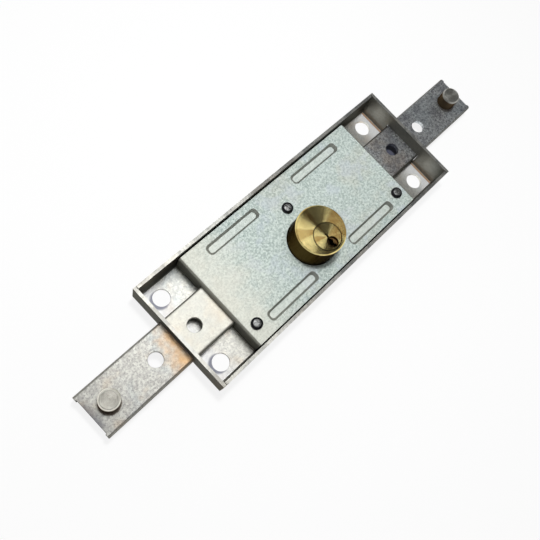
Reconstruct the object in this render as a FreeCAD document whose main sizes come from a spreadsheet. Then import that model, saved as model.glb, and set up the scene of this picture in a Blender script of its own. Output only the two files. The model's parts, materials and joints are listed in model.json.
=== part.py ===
import FreeCAD, Part
import math
import os
import re
import Sketcher
from FreeCAD import Placement, Rotation, Vector

# Central lock of a roller shutter, in millimetres.
# A folded sheet tray lies on its back. Two channel bars slide in it and reach out at its two ends.
# A round cylinder stands in the cover. Its plug turns a pinion, which moves both bars by racks.
# X runs along the bars, Y across the tray and Z out of the cover towards the key.
# The origin is the centre of the tray's back face. The bars are shown thrown, as when locked.

SIZES = {
    # Tray
    "case_length": 155.0,
    "case_width": 55.0,
    "case_height": 15.0,
    "sheet_thickness": 1.5,
    "bend_inside": 1.0,
    "seam_gap": 0.25,
    "fixing_inset_long": 9.0,
    "fixing_inset_wide": 8.5,
    "fixing_hole": 8.0,
    # Cover
    "cover_length": 108.0,
    "cover_side_gap": 0.6,
    "cover_drop": 3.0,
    "cover_thickness": 1.5,
    "cover_bend": 1.5,
    "groove_length": 30.5,
    "groove_width": 5.0,
    "groove_depth": 1.4,
    "groove_corner": 1.8,
    "groove_pillar_gap": 6.0,
    "groove_inset": 5.9,
    # Bars, folded from sheet to a channel that is open below
    "bar_width": 21.6,
    "bar_height": 6.5,
    "bar_sheet": 2.0,
    "bar_bend": 1.2,
    "bar_reach": 122.5,
    "bar_travel": 22.0,
    "bar_floor_gap": 0.1,
    "bar_slot_gap": 0.25,
    "bar_tip_relief": 0.5,
    "bar_hole": 6.7,
    "bar_hole_inset": 33.5,
    "bar_hole_spacing": 21.6,
    "arm_clearance": 1.9,
    "arm_wall_gap": 3.5,
    "left_arm_teeth": 2,
    "right_arm_teeth": 2.5,
    "left_rack_extra": 3,
    "right_rack_extra": 4,
    # Upright pins that drive the long rods of the shutter
    "drive_pin_inset": 9.5,
    "drive_pin_diameter": 9.0,
    "drive_pin_height": 7.0,
    "drive_pin_shank": 6.0,
    "drive_pin_chamfer": 0.7,
    # Pinion and racks
    "pinion_teeth": 9,
    "pressure_angle": 30.0,
    "pinion_addendum": 0.6,
    "rack_addendum": 0.55,
    "tooth_clearance": 0.2,
    "tooth_backlash": 0.12,
    "tail_square": 2.6,
    "tail_gap": 0.05,
    # Cylinder
    "cylinder_place_long": -2.0,
    "cylinder_place_wide": -7.0,
    "cylinder_diameter": 23.4,
    "cylinder_rise": 13.8,
    "cylinder_chamfer": 0.5,
    "cylinder_hole_gap": 0.3,
    "cylinder_bar_gap": 0.2,
    "plug_offset": 4.0,
    "plug_diameter": 13.3,
    "plug_gap": 0.05,
    "plug_chamfer": 0.25,
    "journal_diameter": 7.0,
    "journal_length": 2.4,
    "key_recess_diameter": 5.3,
    "key_recess_depth": 1.2,
    "key_recess_offset": 3.3,
    "keyway_top": 1.9,
    "keyway_step": 0.95,
    "keyway_slit": 0.8,
    "keyway_rib": 0.8,
    "keyway_end_wall": 0.8,
    # Pin tumblers
    "tumbler_count": 4,
    "tumbler_pitch": 3.3,
    "tumbler_first": 3.4,
    "tumbler_diameter": 2.1,
    "tumbler_gap": 0.05,
    "shear_gap": 0.1,
    "driver_length": 3.2,
    "spring_wire": 0.3,
    "spring_turns": 3,
    "spring_steps": 8,
    "strip_width": 3.4,
    "strip_thickness": 1.3,
    "strip_setback": 0.15,
    "strip_end": 2.2,
    "strip_gap": 0.03,
    # Fork that holds the cylinder under the cover
    "fork_thickness": 1.5,
    "fork_flat": 20.4,
    "fork_prong": 4.0,
    "fork_reach": 5.0,
    "fork_bridge": 4.5,
    "fork_tongue": 4.0,
    "fork_gap": 0.05,
    # Pillars and cover screws
    "pillar_inset_long": 5.75,
    "pillar_shift": 0.15,
    "pillar_middle_wide": 11.5,
    "pillar_diameter": 6.0,
    "pillar_guide_gap": 0.3,
    "screw_diameter": 3.0,
    "screw_gap": 0.05,
    "screw_head": 5.4,
    "screw_head_height": 1.6,
    "screw_length": 6.0,
}

# How far each key pin's tip stands above the axis of the plug, as the key's cuts would lift it.
KEY_PIN_TIPS = (0.9, 0.3, 1.2, 0.0)

# Levels and places that several pieces share, as formulas on the sheet's names.
BAR_LOW = "sheet_thickness + bar_floor_gap"
BAR_TOP = "sheet_thickness + bar_floor_gap + bar_height"
COVER_TOP = "case_height - cover_drop"
COVER_UNDER = "case_height - cover_drop - cover_thickness"
COVER_HALF_WIDTH = "case_width / 2 - sheet_thickness - cover_side_gap"
CYLINDER_FACE = "case_height - cover_drop + cylinder_rise"
CYLINDER_BACK = f"{BAR_TOP} + cylinder_bar_gap"
PLUG_SHOULDER = f"{CYLINDER_BACK} + journal_length"
PLUG_WIDE = "cylinder_place_wide - plug_offset"
PITCH_RADIUS = "bar_travel / (2 * pi)"
TOOTH_PITCH = "bar_travel / pinion_teeth"
PINION_TIP = f"{PITCH_RADIUS} + pinion_addendum"
ARM_BACK = "sheet_thickness + arm_wall_gap - case_width / 2"
ARM_EDGE = "pillar_middle_wide - pillar_diameter / 2 - pillar_guide_gap"
LEFT_ARM_END = f"cylinder_place_long + left_arm_teeth * {TOOTH_PITCH}"
LEFT_STEP = f"cylinder_place_long - bar_travel - ({PINION_TIP}) - arm_clearance"
RIGHT_ARM_END = f"cylinder_place_long - right_arm_teeth * {TOOTH_PITCH}"
RIGHT_STEP = f"{LEFT_ARM_END} + 2 * bar_travel + arm_clearance"
CRANK_START = f"cylinder_place_long + bar_travel + {PINION_TIP} + 2 * arm_clearance"
PILLAR_LONG = "cover_length / 2 - pillar_inset_long"
PILLAR_WIDE = f"-(bar_width / 2 + {COVER_HALF_WIDTH} - cover_thickness) / 2 - pillar_shift"
CRANK_END = f"{PILLAR_LONG} - pillar_diameter / 2 - arm_clearance / 2"
PIN_PLACE = "bar_reach - drive_pin_inset"
SHEAR = "plug_diameter / 2 - plug_offset"
STRIP_SEAT = "cylinder_diameter / 2 - strip_setback - strip_thickness"
STRIP_TOP = f"{CYLINDER_FACE} - strip_end"
TOWARDS_WALL = Rotation(Vector(1, 0, 0), -90)
PLACE_NAMES = ("left", "middle", "right")
PILLAR_PLACES = (
    (f"-({PILLAR_LONG})", PILLAR_WIDE),
    ("0", "pillar_middle_wide"),
    (PILLAR_LONG, PILLAR_WIDE),
)

doc = FreeCAD.newDocument("ShutterLock")
sheet = doc.addObject("Spreadsheet::Sheet", "Sizes")


def fill_sheet():
    for row, (name, size) in enumerate(SIZES.items(), start=1):
        sheet.set(f"A{row}", name)
        sheet.set(f"B{row}", str(size))
        sheet.setAlias(f"B{row}", name)
    doc.recompute()


def formula(text):
    """Points every size named in the text at its cell."""
    return re.sub(r"[a-z][a-z_]+", lambda word: cell_name(word.group()), text)


def cell_name(word):
    return f"Sizes.{word}" if word in SIZES else word


def size(text):
    """Works out a formula as a number, for shapes that are made in code."""
    return float(sheet.evalExpression(formula(text)))


def bind(item, prop, text):
    item.setExpression(prop, formula(text))


# Helpers for bodies, sketches and features

def new_body(label, along="0", across="0", up="0", rotation=Rotation()):
    body = doc.addObject("PartDesign::Body", label)
    body.Label = label
    body.Placement = Placement(Vector(), rotation)
    bind(body, "Placement.Base.x", along)
    bind(body, "Placement.Base.y", across)
    bind(body, "Placement.Base.z", up)
    return body


def new_sketch(body, role, offset="0"):
    plane = next(item for item in body.Origin.OriginFeatures if item.Role == role)
    sketch = body.newObject("Sketcher::SketchObject", f"{body.Label}_sketch")
    sketch.AttachmentSupport = [(plane, "")]
    sketch.MapMode = "FlatFace"
    bind(sketch, "AttachmentOffset.Base.z", offset)
    return sketch


def pin_point(sketch, item, end, place):
    """Ties one point of a sketch to its two formulas, measured from the sketch's origin."""
    for kind, text in zip(("DistanceX", "DistanceY"), place):
        mark = sketch.addConstraint(Sketcher.Constraint(kind, -1, 1, item, end, size(text)))
        bind(sketch, f"Constraints[{mark}]", text)


def draw_polygon(sketch, places):
    first = sketch.GeometryCount
    points = [Vector(size(across), size(up), 0) for across, up in places]
    for start, end in zip(points, points[1:] + points[:1]):
        sketch.addGeometry(Part.LineSegment(start, end), False)
    for index, place in enumerate(places):
        following = first + (index + 1) % len(places)
        sketch.addConstraint(Sketcher.Constraint("Coincident", first + index, 2, following, 1))
        pin_point(sketch, first + index, 1, place)


def draw_rectangle(sketch, left, right, low, high):
    draw_polygon(sketch, [(left, low), (right, low), (right, high), (left, high)])


def draw_circle(sketch, across, up, diameter):
    centre = Vector(size(across), size(up), 0)
    item = sketch.addGeometry(Part.Circle(centre, Vector(0, 0, 1), size(diameter) / 2), False)
    mark = sketch.addConstraint(Sketcher.Constraint("Diameter", item, size(diameter)))
    bind(sketch, f"Constraints[{mark}]", diameter)
    pin_point(sketch, item, 3, (across, up))


def pad(body, sketch, length, flip=False):
    return extrude(body, "PartDesign::Pad", sketch, length, flip)


def pocket(body, sketch, length, flip=False):
    """Cuts a pocket and stops if it took nothing away."""
    before = body.Shape.Volume
    cut = extrude(body, "PartDesign::Pocket", sketch, length, flip)
    if not cut.Shape.Volume < before:
        raise RuntimeError(f"a pocket in {body.Label} cuts nothing")
    return cut


def extrude(body, kind, sketch, length, flip):
    feature = body.newObject(kind, f"{body.Label}_feature")
    feature.Profile = sketch
    feature.Reversed = flip
    bind(feature, "Length", length)
    sketch.Visibility = False
    doc.recompute()
    return feature


def pocket_both_ways(body, sketch):
    """Cuts right through the body on both sides of the sketch's plane."""
    before = body.Shape.Volume
    cut = body.newObject("PartDesign::Pocket", f"{body.Label}_feature")
    cut.Profile = sketch
    cut.Type = "ThroughAll"
    cut.SideType = "Symmetric"
    doc.recompute()
    if not cut.Shape.Volume < before:
        raise RuntimeError(f"a pocket in {body.Label} cuts nothing")
    return cut


def repeat(body, feature, role, length, count, flip=False):
    axis = next(item for item in body.Origin.OriginFeatures if item.Role == role)
    pattern = body.newObject("PartDesign::LinearPattern", f"{body.Label}_pattern")
    pattern.Originals = [feature]
    pattern.Direction = (axis, [""])
    pattern.Reversed = flip
    bind(pattern, "Length", length)
    bind(pattern, "Occurrences", count)
    body.Tip = pattern
    doc.recompute()
    return pattern


def dress(body, kind, measure, amount, wanted):
    """Fillets or chamfers the edges of the body's tip that the test wants."""
    base = body.Tip
    names = [f"Edge{n}" for n, edge in enumerate(base.Shape.Edges, start=1) if wanted(edge)]
    feature = body.newObject(f"PartDesign::{kind}", f"{body.Label}_{kind.lower()}")
    feature.Base = (base, names)
    bind(feature, measure, amount)
    doc.recompute()
    return feature


def lies_at(edge, up=None, along=None, across=None):
    """True where both ends and the middle of an edge have the places given."""
    box = edge.BoundBox
    spans = ((up, box.ZMin, box.ZMax), (along, box.XMin, box.XMax), (across, box.YMin, box.YMax))
    return all(place is None or max(abs(low - place), abs(high - place)) < 1e-4
               for place, low, high in spans)


def turned(label, profile, along, across, up="0", rotation=Rotation()):
    """A turned piece. The profile is a list of radius and height, and closes on the axis."""
    body = new_body(label, along, across, up, rotation)
    sketch = new_sketch(body, "XZ_Plane")
    draw_polygon(sketch, profile)
    turn = body.newObject("PartDesign::Revolution", f"{label}_turn")
    turn.Profile = sketch
    turn.ReferenceAxis = (sketch, ["V_Axis"])
    turn.Angle = 360
    doc.recompute()
    return body


# Tray and cover

def make_case_tray():
    body = new_body("case_tray")
    outline = new_sketch(body, "XY_Plane")
    draw_rectangle(outline, "-case_length / 2", "case_length / 2", "-case_width / 2", "case_width / 2")
    pad(body, outline, "case_height")
    dress(body, "Fillet", "Radius", "bend_inside + sheet_thickness", lambda e: lies_at(e, up=0))
    hollow = new_sketch(body, "XY_Plane", "sheet_thickness")
    draw_rectangle(hollow, "sheet_thickness - case_length / 2", "case_length / 2 - sheet_thickness",
                   "sheet_thickness - case_width / 2", "case_width / 2 - sheet_thickness")
    pocket(body, hollow, "case_height", flip=True)
    floor = size("sheet_thickness")
    dress(body, "Fillet", "Radius", "bend_inside", lambda e: lies_at(e, up=floor))
    cut_corner_seams(body)
    slots = new_sketch(body, "YZ_Plane")
    draw_rectangle(slots, "-bar_width / 2 - bar_slot_gap", "bar_width / 2 + bar_slot_gap",
                   "sheet_thickness", f"{BAR_TOP} + bar_slot_gap")
    pocket_both_ways(body, slots)
    holes = new_sketch(body, "XY_Plane")
    for side_long in (-1, 1):
        for side_wide in (-1, 1):
            draw_circle(holes, f"{side_long} * (case_length / 2 - fixing_inset_long)",
                        f"{side_wide} * (case_width / 2 - fixing_inset_wide)", "fixing_hole")
    for along, across in PILLAR_PLACES:
        draw_circle(holes, along, across, "pillar_diameter")
    pocket_both_ways(body, holes)


def cut_corner_seams(body):
    """Opens the seam where each long wall ends beside an end wall."""
    seams = new_sketch(body, "XY_Plane", "sheet_thickness + bend_inside")
    inner = "case_length / 2 - sheet_thickness - seam_gap"
    outer = "case_length / 2 - sheet_thickness"
    for left, right in ((inner, outer), (f"-({outer})", f"-({inner})")):
        draw_rectangle(seams, left, right, "case_width / 2 - sheet_thickness", "case_width / 2 + seam_gap")
        draw_rectangle(seams, left, right, "-case_width / 2 - seam_gap", "sheet_thickness - case_width / 2")
    pocket(body, seams, "case_height", flip=True)


def make_cover_plate():
    body = new_body("cover_plate")
    outline = new_sketch(body, "XY_Plane", "sheet_thickness")
    draw_rectangle(outline, "-cover_length / 2", "cover_length / 2",
                   f"-({COVER_HALF_WIDTH})", COVER_HALF_WIDTH)
    pad(body, outline, f"{COVER_TOP} - sheet_thickness")
    end, top = size("cover_length / 2"), size(COVER_TOP)
    dress(body, "Fillet", "Radius", "cover_bend",
          lambda e: lies_at(e, up=top, along=end) or lies_at(e, up=top, along=-end))
    channel = new_sketch(body, "XZ_Plane")
    draw_rectangle(channel, "cover_thickness - cover_length / 2", "cover_length / 2 - cover_thickness",
                   "0", COVER_UNDER)
    pocket_both_ways(body, channel)
    notch = new_sketch(body, "YZ_Plane")
    draw_rectangle(notch, "-bar_width / 2 - bar_slot_gap", "bar_width / 2 + bar_slot_gap",
                   "0", f"{BAR_TOP} + bar_slot_gap")
    for side in (-1, 1):
        draw_polygon(notch, [
            (f"{side} * ({COVER_HALF_WIDTH} - bend_inside)", "sheet_thickness"),
            (f"{side} * ({COVER_HALF_WIDTH} + cover_side_gap)", "sheet_thickness"),
            (f"{side} * ({COVER_HALF_WIDTH} + cover_side_gap)",
             "sheet_thickness + bend_inside + cover_side_gap")])
    pocket_both_ways(body, notch)
    press_grooves(body)
    opening = new_sketch(body, "XY_Plane", COVER_TOP)
    draw_circle(opening, "cylinder_place_long", "cylinder_place_wide",
                "cylinder_diameter + 2 * cylinder_hole_gap")
    for along, across in PILLAR_PLACES:
        draw_circle(opening, along, across, "screw_diameter + 2 * screw_gap")
    pocket(body, opening, "2 * cover_thickness")


def press_grooves(body):
    """Four shallow grooves pressed into the cover, which stand out under it."""
    under = new_sketch(body, "XY_Plane", COVER_UNDER)
    draw_grooves(under)
    pad(body, under, "groove_depth", flip=True)
    upper = new_sketch(body, "XY_Plane", COVER_TOP)
    draw_grooves(upper)
    pocket(body, upper, "groove_depth")


def draw_grooves(sketch):
    for side_long in (-1, 1):
        for side_wide in (-1, 1):
            centre_long = f"{side_long} * ({PILLAR_LONG} - groove_pillar_gap - groove_length / 2)"
            centre_wide = f"{side_wide} * ({COVER_HALF_WIDTH} - groove_inset)"
            draw_rounded(sketch, centre_long, centre_wide,
                         "groove_length / 2", "groove_width / 2", "groove_corner")


def draw_rounded(sketch, across, up, half_long, half_wide, corner):
    """A rectangle with rounded corners, made of four arcs and four lines."""
    first = sketch.GeometryCount
    x, y, a, b, r = (size(text) for text in (across, up, half_long, half_wide, corner))
    middles = [Vector(x + a - r, y + b - r, 0), Vector(x - a + r, y + b - r, 0),
               Vector(x - a + r, y - b + r, 0), Vector(x + a - r, y - b + r, 0)]
    for turn, middle in enumerate(middles):
        start = turn * math.pi / 2
        circle = Part.Circle(middle, Vector(0, 0, 1), r)
        sketch.addGeometry(Part.ArcOfCircle(circle, start, start + math.pi / 2), False)
    for turn, middle in enumerate(middles):
        start = turn * math.pi / 2
        following = middles[(turn + 1) % 4]
        reach = Vector(math.cos(start + math.pi / 2), math.sin(start + math.pi / 2), 0) * r
        sketch.addGeometry(Part.LineSegment(middle + reach, following + reach), False)
    signs = ((1, 1), (-1, 1), (-1, -1), (1, -1))
    for turn, (sign_long, sign_wide) in enumerate(signs):
        arc, line, following = first + turn, first + 4 + turn, first + (turn + 1) % 4
        sketch.addConstraint(Sketcher.Constraint("Tangent", arc, 2, line, 1))
        sketch.addConstraint(Sketcher.Constraint("Tangent", line, 2, following, 1))
        pin_point(sketch, arc, 3, (f"{across} + {sign_long} * ({half_long} - {corner})",
                                   f"{up} + {sign_wide} * ({half_wide} - {corner})"))
    mark = sketch.addConstraint(Sketcher.Constraint("Radius", first, r))
    bind(sketch, f"Constraints[{mark}]", corner)


# Bars and their pins

def make_left_bar():
    """A channel whose end steps down to a flat arm, which slides on the tray's floor."""
    body = new_body("left_bar")
    outline = new_sketch(body, "XY_Plane", BAR_LOW)
    rack_tip = f"{PLUG_WIDE} + {PITCH_RADIUS} - rack_addendum"
    draw_polygon(outline, tip_outline(-1) + [
        (LEFT_STEP, "-bar_width / 2"), (LEFT_STEP, rack_tip), (LEFT_ARM_END, rack_tip),
        (LEFT_ARM_END, ARM_EDGE), (LEFT_STEP, ARM_EDGE), (LEFT_STEP, "bar_width / 2")])
    pad(body, outline, "bar_height")
    fold_channel(body, "-bar_reach", f"{LEFT_STEP} - bar_sheet")
    above_arm = new_sketch(body, "XY_Plane", f"{BAR_LOW} + bar_sheet")
    draw_rectangle(above_arm, LEFT_STEP, f"{LEFT_ARM_END} + arm_clearance",
                   "-bar_width / 2 - arm_clearance", "bar_width / 2 + arm_clearance")
    pocket(body, above_arm, "bar_height", flip=True)
    first_space = f"cylinder_place_long + (left_arm_teeth - 1) * {TOOTH_PITCH}"
    cut_rack(body, first_space, 1, "pinion_teeth + left_rack_extra", flip=True)
    drill_bar(body, -1)


def make_right_bar():
    """A channel whose top runs on as a flat arm, cranked round the pinion to its other side."""
    body = new_body("right_bar")
    outline = new_sketch(body, "XY_Plane", BAR_LOW)
    rack_tip = f"{PLUG_WIDE} - {PITCH_RADIUS} + rack_addendum"
    draw_polygon(outline, tip_outline(1) + [
        (CRANK_START, "bar_width / 2"), (CRANK_START, rack_tip), (RIGHT_ARM_END, rack_tip),
        (RIGHT_ARM_END, ARM_BACK), (CRANK_END, ARM_BACK), (CRANK_END, "-bar_width / 2")])
    pad(body, outline, "bar_height")
    fold_channel(body, RIGHT_STEP, "bar_reach")
    under_arm = new_sketch(body, "XY_Plane", f"{BAR_TOP} - bar_sheet")
    draw_rectangle(under_arm, f"{RIGHT_ARM_END} - arm_clearance", RIGHT_STEP,
                   f"{ARM_BACK} - arm_clearance", "bar_width / 2 + arm_clearance")
    pocket(body, under_arm, "bar_height")
    phase = "right_arm_teeth - mod(pinion_teeth; 2)"
    first_space = f"cylinder_place_long - ({phase}) * {TOOTH_PITCH}"
    cut_rack(body, first_space, -1, "pinion_teeth + right_rack_extra")
    drill_bar(body, 1)


def tip_outline(side):
    """The outer end of a bar, where the top is cut a little shorter than the two sides."""
    tip, relief = f"{side} * bar_reach", f"{side} * (bar_reach - bar_tip_relief)"
    inner, outer = f"{side} * (bar_width / 2 - bar_sheet)", f"{side} * bar_width / 2"
    return [(tip, f"-({outer})"), (tip, f"-({inner})"), (relief, f"-({inner})"), (relief, inner),
            (tip, inner), (tip, outer)]


def fold_channel(body, left, right):
    """Hollows the bar from below between its sides and rounds the two bends on top."""
    hollow = new_sketch(body, "XY_Plane", f"{BAR_TOP} - bar_sheet")
    draw_rectangle(hollow, left, right, "bar_sheet - bar_width / 2", "bar_width / 2 - bar_sheet")
    pocket(body, hollow, "bar_height")
    top, edge = size(BAR_TOP), size("bar_width / 2")
    dress(body, "Fillet", "Radius", "bar_bend",
          lambda e: any(lies_at(e, up=top, across=wide) and e.Length > edge for wide in (-edge, edge)))


def cut_rack(body, first_place, side, count, flip=False):
    """Cuts the first tooth space of a rack and repeats it along the arm."""
    space = new_sketch(body, "XY_Plane", f"{BAR_LOW} - bar_floor_gap")
    pitch_line = f"{PLUG_WIDE} + {side} * {PITCH_RADIUS}"
    tip = f"{pitch_line} - {side} * (rack_addendum + tooth_clearance)"
    root = f"{pitch_line} + {side} * (pinion_addendum + tooth_clearance)"
    half_pitch_line = f"({TOOTH_PITCH} / 4 + tooth_backlash / 2)"
    half_tip = f"({half_pitch_line} + (rack_addendum + tooth_clearance) * tan(pressure_angle * 1 deg))"
    half_root = f"({half_pitch_line} - (pinion_addendum + tooth_clearance) * tan(pressure_angle * 1 deg))"
    draw_polygon(space, [(f"{first_place} - {half_tip}", tip), (f"{first_place} + {half_tip}", tip),
                         (f"{first_place} + {half_root}", root), (f"{first_place} - {half_root}", root)])
    cut = pocket(body, space, "bar_height + 2 * bar_floor_gap", flip=True)
    repeat(body, cut, "X_Axis", f"({count} - 1) * {TOOTH_PITCH}", count, flip)


def drill_bar(body, side):
    """Drills the two holes of a bar and the seat of its pin."""
    holes = new_sketch(body, "XY_Plane")
    for place in ("bar_hole_inset", "(bar_hole_inset + bar_hole_spacing)"):
        draw_circle(holes, f"{side} * (bar_reach - {place})", "0", "bar_hole")
    draw_circle(holes, f"{side} * ({PIN_PLACE})", "0", "drive_pin_shank")
    pocket_both_ways(body, holes)


def make_drive_pin(label, side):
    """A round pin, riveted through the top of the bar and flush below it."""
    radius, chamfer, under = "drive_pin_diameter / 2", "drive_pin_chamfer", f"{BAR_TOP} - bar_sheet"
    turned(label, [("0", under), ("drive_pin_shank / 2", under), ("drive_pin_shank / 2", BAR_TOP),
                   (radius, BAR_TOP), (radius, f"{BAR_TOP} + drive_pin_height - {chamfer}"),
                   (f"{radius} - {chamfer}", f"{BAR_TOP} + drive_pin_height"),
                   ("0", f"{BAR_TOP} + drive_pin_height")],
           f"{side} * ({PIN_PLACE})", "0")


# Pillars and cover screws

def make_pillar(name, along, across):
    """A spacer pressed into the tray's floor, flush behind it, with a threaded hole from above."""
    top = f"{COVER_UNDER} - fork_thickness" if name == "middle" else COVER_UNDER
    bore = "screw_diameter / 2 + screw_gap"
    bore_floor = f"{COVER_TOP} - screw_length - 2 * screw_gap"
    turned(f"{name}_pillar", [
        ("0", "0"), ("pillar_diameter / 2", "0"), ("pillar_diameter / 2", top),
        (bore, top), (bore, bore_floor), ("0", bore_floor)], along, across)


def make_cover_screw(name, along, across):
    """A screw with a low head that clamps the cover to its pillar."""
    head, shank = "screw_head / 2", "screw_diameter / 2"
    turned(f"{name}_cover_screw", [
        ("0", f"{COVER_TOP} - screw_length"), (shank, f"{COVER_TOP} - screw_length"),
        (shank, COVER_TOP), (head, COVER_TOP), (head, f"{COVER_TOP} + screw_head_height"),
        ("0", f"{COVER_TOP} + screw_head_height")], along, across)


# Cylinder, plug and what holds them

def make_cylinder_body():
    body = new_body("cylinder_body", "cylinder_place_long", "cylinder_place_wide")
    outline = new_sketch(body, "XY_Plane", CYLINDER_BACK)
    draw_circle(outline, "0", "0", "cylinder_diameter")
    pad(body, outline, f"{CYLINDER_FACE} - ({CYLINDER_BACK})")
    face = size(CYLINDER_FACE)
    dress(body, "Chamfer", "Size", "cylinder_chamfer", lambda e: lies_at(e, up=face))
    for level, diameter, depth in (
            (PLUG_SHOULDER, "plug_diameter", "case_height + cylinder_rise"),
            (CYLINDER_BACK, "journal_diameter", "case_height")):
        bore = new_sketch(body, "XY_Plane", level)
        draw_circle(bore, "0", "-plug_offset", f"{diameter} + 2 * plug_gap")
        pocket(body, bore, depth, flip=True)
    flats = new_sketch(body, "XY_Plane", f"{COVER_UNDER} - fork_thickness")
    for side in (-1, 1):
        draw_rectangle(flats, f"{side} * fork_flat / 2", f"{side} * (cylinder_diameter / 2 + fork_gap)",
                       "-fork_flat / 2", "fork_flat / 2")
    pocket(body, flats, "fork_thickness", flip=True)
    chamber = new_sketch(body, "XZ_Plane", "plug_offset")
    draw_circle(chamber, "0", f"{CYLINDER_FACE} - tumbler_first", "tumbler_diameter + 2 * tumbler_gap")
    drilled = pocket(body, chamber, "cylinder_diameter")
    repeat(body, drilled, "Z_Axis", "(tumbler_count - 1) * tumbler_pitch", "tumbler_count", flip=True)
    channel = new_sketch(body, "XZ_Plane", f"-({STRIP_SEAT})")
    draw_rectangle(channel, "-strip_width / 2 - strip_gap", "strip_width / 2 + strip_gap",
                   f"{COVER_TOP} - cover_thickness", f"{STRIP_TOP} + strip_gap")
    pocket(body, channel, "cylinder_diameter")


def make_cylinder_plug():
    body = new_body("cylinder_plug", "cylinder_place_long", PLUG_WIDE)
    front = new_sketch(body, "XY_Plane", f"{PLUG_SHOULDER} + plug_gap")
    draw_circle(front, "0", "0", "plug_diameter")
    pad(body, front, f"{CYLINDER_FACE} - ({PLUG_SHOULDER}) - plug_gap")
    face = size(CYLINDER_FACE)
    dress(body, "Chamfer", "Size", "plug_chamfer", lambda e: lies_at(e, up=face))
    journal = new_sketch(body, "XY_Plane", CYLINDER_BACK)
    draw_circle(journal, "0", "0", "journal_diameter")
    pad(body, journal, "journal_length + plug_gap")
    tail = new_sketch(body, "XY_Plane", BAR_LOW)
    half_tail = "tail_square / 2"
    draw_rectangle(tail, f"-{half_tail}", half_tail, f"-{half_tail}", half_tail)
    pad(body, tail, "bar_height + cylinder_bar_gap")
    keyway = new_sketch(body, "XY_Plane", CYLINDER_FACE)
    draw_polygon(keyway, keyway_outline())
    pocket(body, keyway, f"{CYLINDER_FACE} - ({PLUG_SHOULDER}) - keyway_end_wall")
    recess = new_sketch(body, "XY_Plane", CYLINDER_FACE)
    draw_circle(recess, "0", "-key_recess_offset", "key_recess_diameter")
    pocket(body, recess, "key_recess_depth")
    chamber = new_sketch(body, "XZ_Plane", "keyway_slit")
    draw_circle(chamber, "0", f"{CYLINDER_FACE} - tumbler_first", "tumbler_diameter + 2 * tumbler_gap")
    drilled = pocket(body, chamber, "plug_diameter")
    repeat(body, drilled, "Z_Axis", "(tumbler_count - 1) * tumbler_pitch", "tumbler_count", flip=True)


def keyway_outline():
    """A narrow slit that runs down into a bent slot, which steps out to one side and the other."""
    slit, wide = "keyway_slit / 2", "(keyway_slit / 2 + keyway_rib)"
    right = ((slit, 1), (wide, 2), (wide, 3), (slit, 4), (wide, 5), (wide, 6))
    left = ((slit, 6), (slit, 5), (wide, 4), (wide, 3), (slit, 2))
    outline = [(slit, "keyway_top")] + [(across, f"-{step} * keyway_step") for across, step in right]
    outline += [(f"-{across}", f"-{step} * keyway_step") for across, step in left]
    return outline + [(f"-{slit}", "keyway_top")]


def make_cylinder_fork():
    """A plate that slides onto the cylinder's flats, with a tongue that the middle screw clamps."""
    body = new_body("cylinder_fork", "cylinder_place_long", "cylinder_place_wide")
    outline = new_sketch(body, "XY_Plane", f"{COVER_UNDER} - fork_thickness")
    inner = "fork_flat / 2 + fork_gap"
    outer = f"{inner} + fork_prong"
    web = "cylinder_diameter / 2 + cylinder_hole_gap"
    shoulder = f"{web} + fork_bridge"
    screw_long, screw_wide = "-cylinder_place_long", "(pillar_middle_wide - cylinder_place_wide)"
    draw_polygon(outline, [
        (f"-({outer})", "-fork_reach"), (f"-({inner})", "-fork_reach"), (f"-({inner})", web),
        (inner, web), (inner, "-fork_reach"), (outer, "-fork_reach"), (outer, shoulder),
        (f"{screw_long} + fork_tongue", shoulder), (f"{screw_long} + fork_tongue", f"{screw_wide} + fork_tongue"),
        (f"{screw_long} - fork_tongue", f"{screw_wide} + fork_tongue"),
        (f"{screw_long} - fork_tongue", shoulder), (f"-({outer})", shoulder)])
    draw_circle(outline, screw_long, screw_wide, "screw_diameter + 2 * screw_gap")
    pad(body, outline, "fork_thickness")


# Pinion, made from the involute

def involute(angle):
    return math.tan(angle) - angle


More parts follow.
